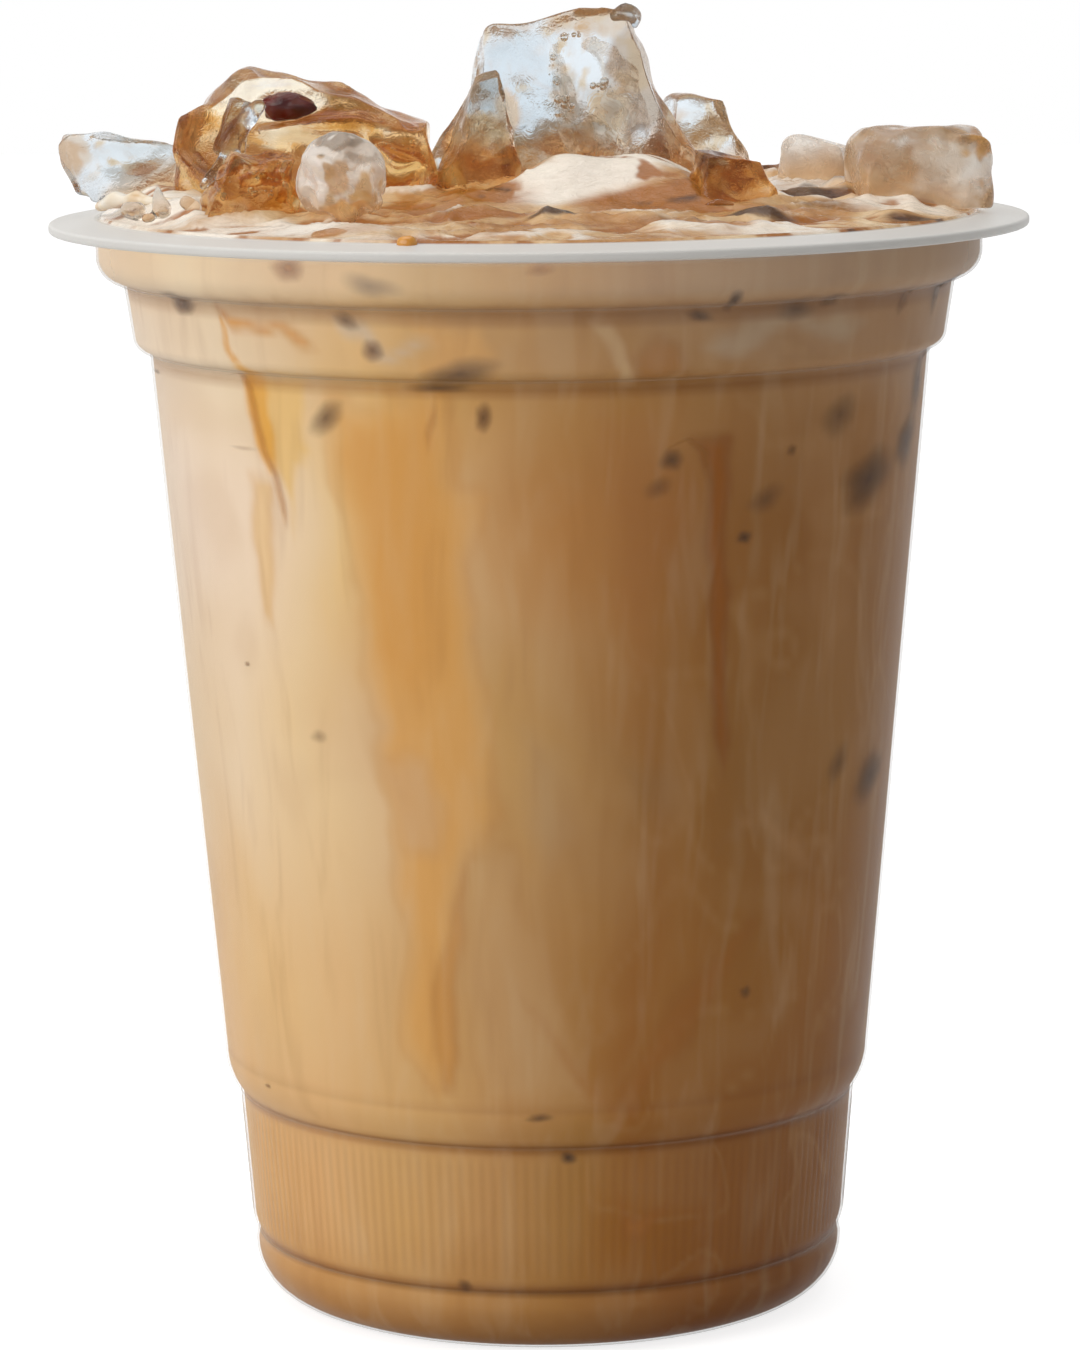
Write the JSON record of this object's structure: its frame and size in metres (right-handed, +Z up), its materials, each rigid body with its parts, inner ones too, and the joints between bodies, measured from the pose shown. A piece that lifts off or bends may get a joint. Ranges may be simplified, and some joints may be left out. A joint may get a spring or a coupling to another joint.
{
  "type": "cold brew latte",
  "caption": "Clear ribbed plastic cup of milky iced coffee, filled to the brim, with broken ice heaped above the rim.",
  "frame": {"origin": "centre of the cup's standing ring, on the surface that it stands on", "axes": "+Z up the cup's axis; -Y towards the side with the oval lump of ice; +X to the right of that side, towards the wide block of ice at the rim"},
  "size_m": [0.095, 0.095, 0.1274],
  "materials": {
    "cup": "clear polypropylene with a fine frosted grain",
    "latte": "opaque milky coffee with cream and caramel swirls",
    "ice_clear": "wet clear ice with bubbles and cracks",
    "ice_coffee": "wet ice filmed with coffee"
  },
  "bodies": {
    "root": {"cup": "cup", "latte": "latte", "ice_tall": "ice_clear", "ice_slab": "ice_clear", "ice_oval": "ice_clear", "ice_rear": "ice_clear", "ice_cube": "ice_clear", "ice_back_left": "ice_clear", "ice_back_mid": "ice_clear", "ice_back_right": "ice_clear", "ice_shard": "ice_clear", "ice_dome": "ice_coffee", "ice_gold": "ice_coffee", "ice_amber": "ice_coffee", "ice_facet": "ice_coffee", "ice_block": "ice_coffee"}
  },
  "joints": []
}
